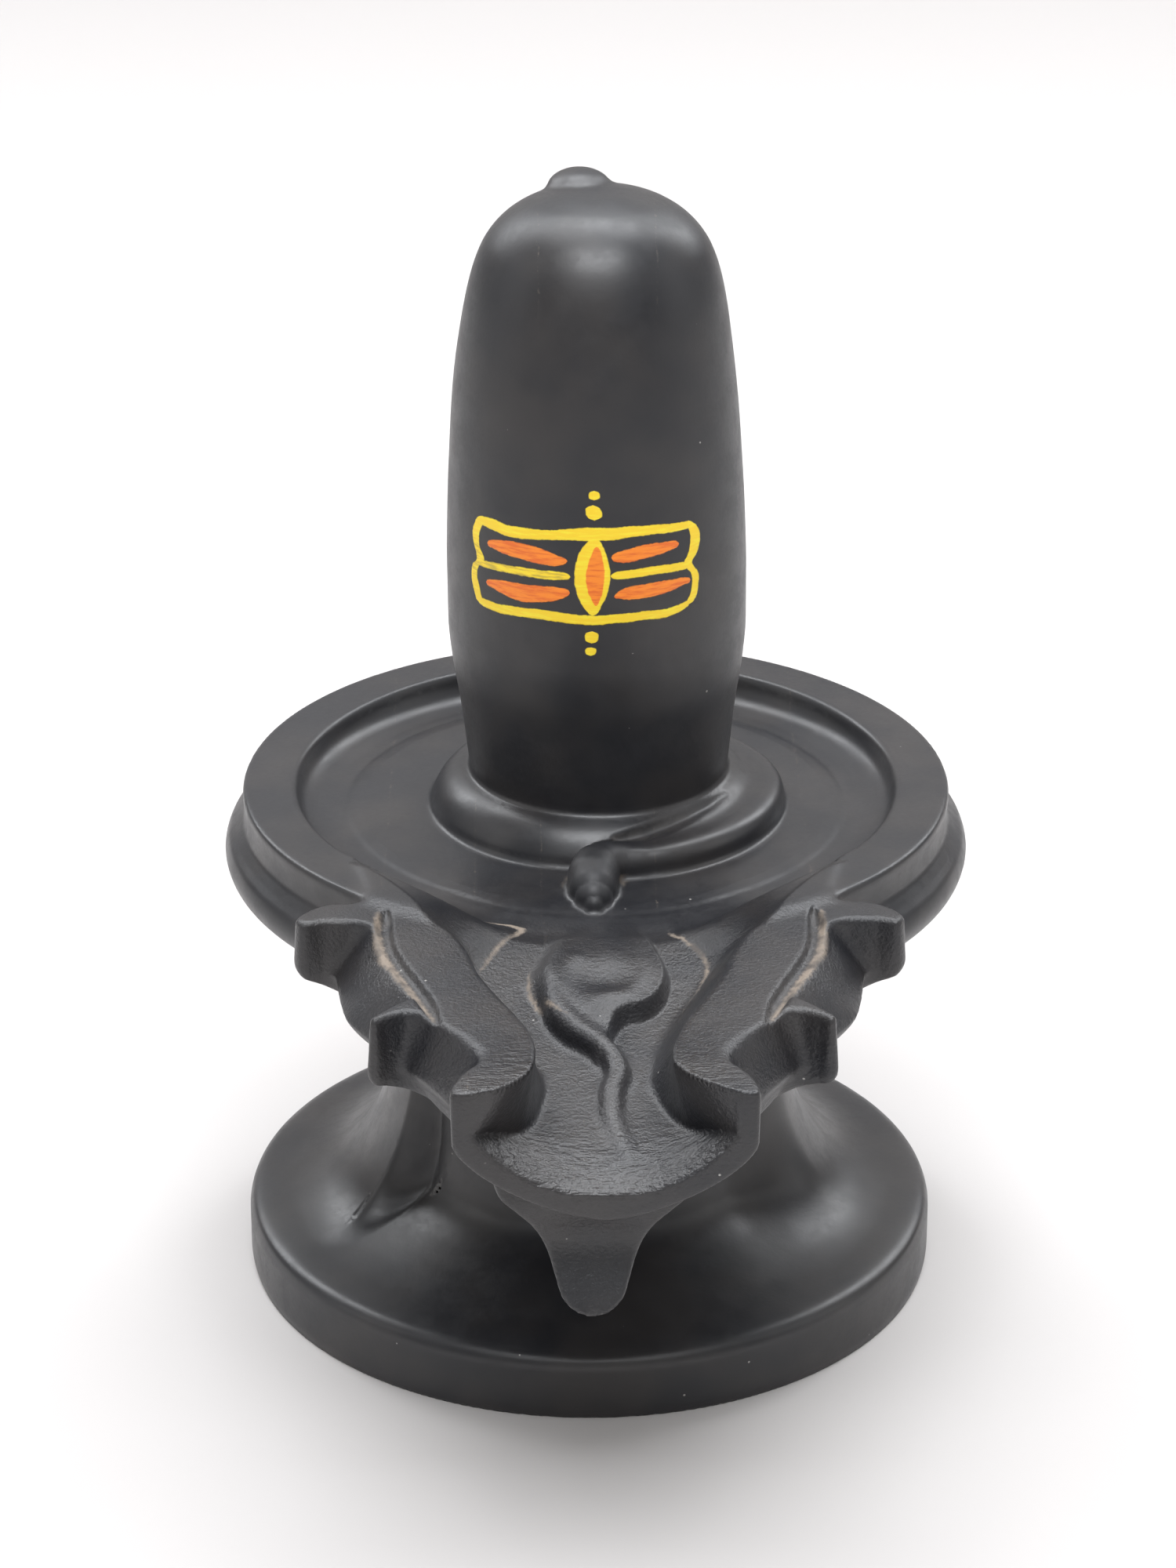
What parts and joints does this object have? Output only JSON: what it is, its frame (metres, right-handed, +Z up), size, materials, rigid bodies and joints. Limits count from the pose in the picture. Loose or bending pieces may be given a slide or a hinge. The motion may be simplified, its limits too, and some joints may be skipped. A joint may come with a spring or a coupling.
{
  "type": "shiva lingam",
  "caption": "Carved black stone lingam: a domed shaft with a painted mark stands in a round basin whose long spout drains over a turned foot.",
  "frame": {"origin": "centre of the foot's flat underside", "axes": "+Z up through the foot; the spout points towards -Y; +X to the right when the spout is seen from the front"},
  "size_m": [0.162, 0.2258, 0.2497],
  "materials": {
    "black_stone": "satin"
  },
  "bodies": {
    "root": {"lingam_and_yoni": "black_stone"}
  },
  "joints": []
}
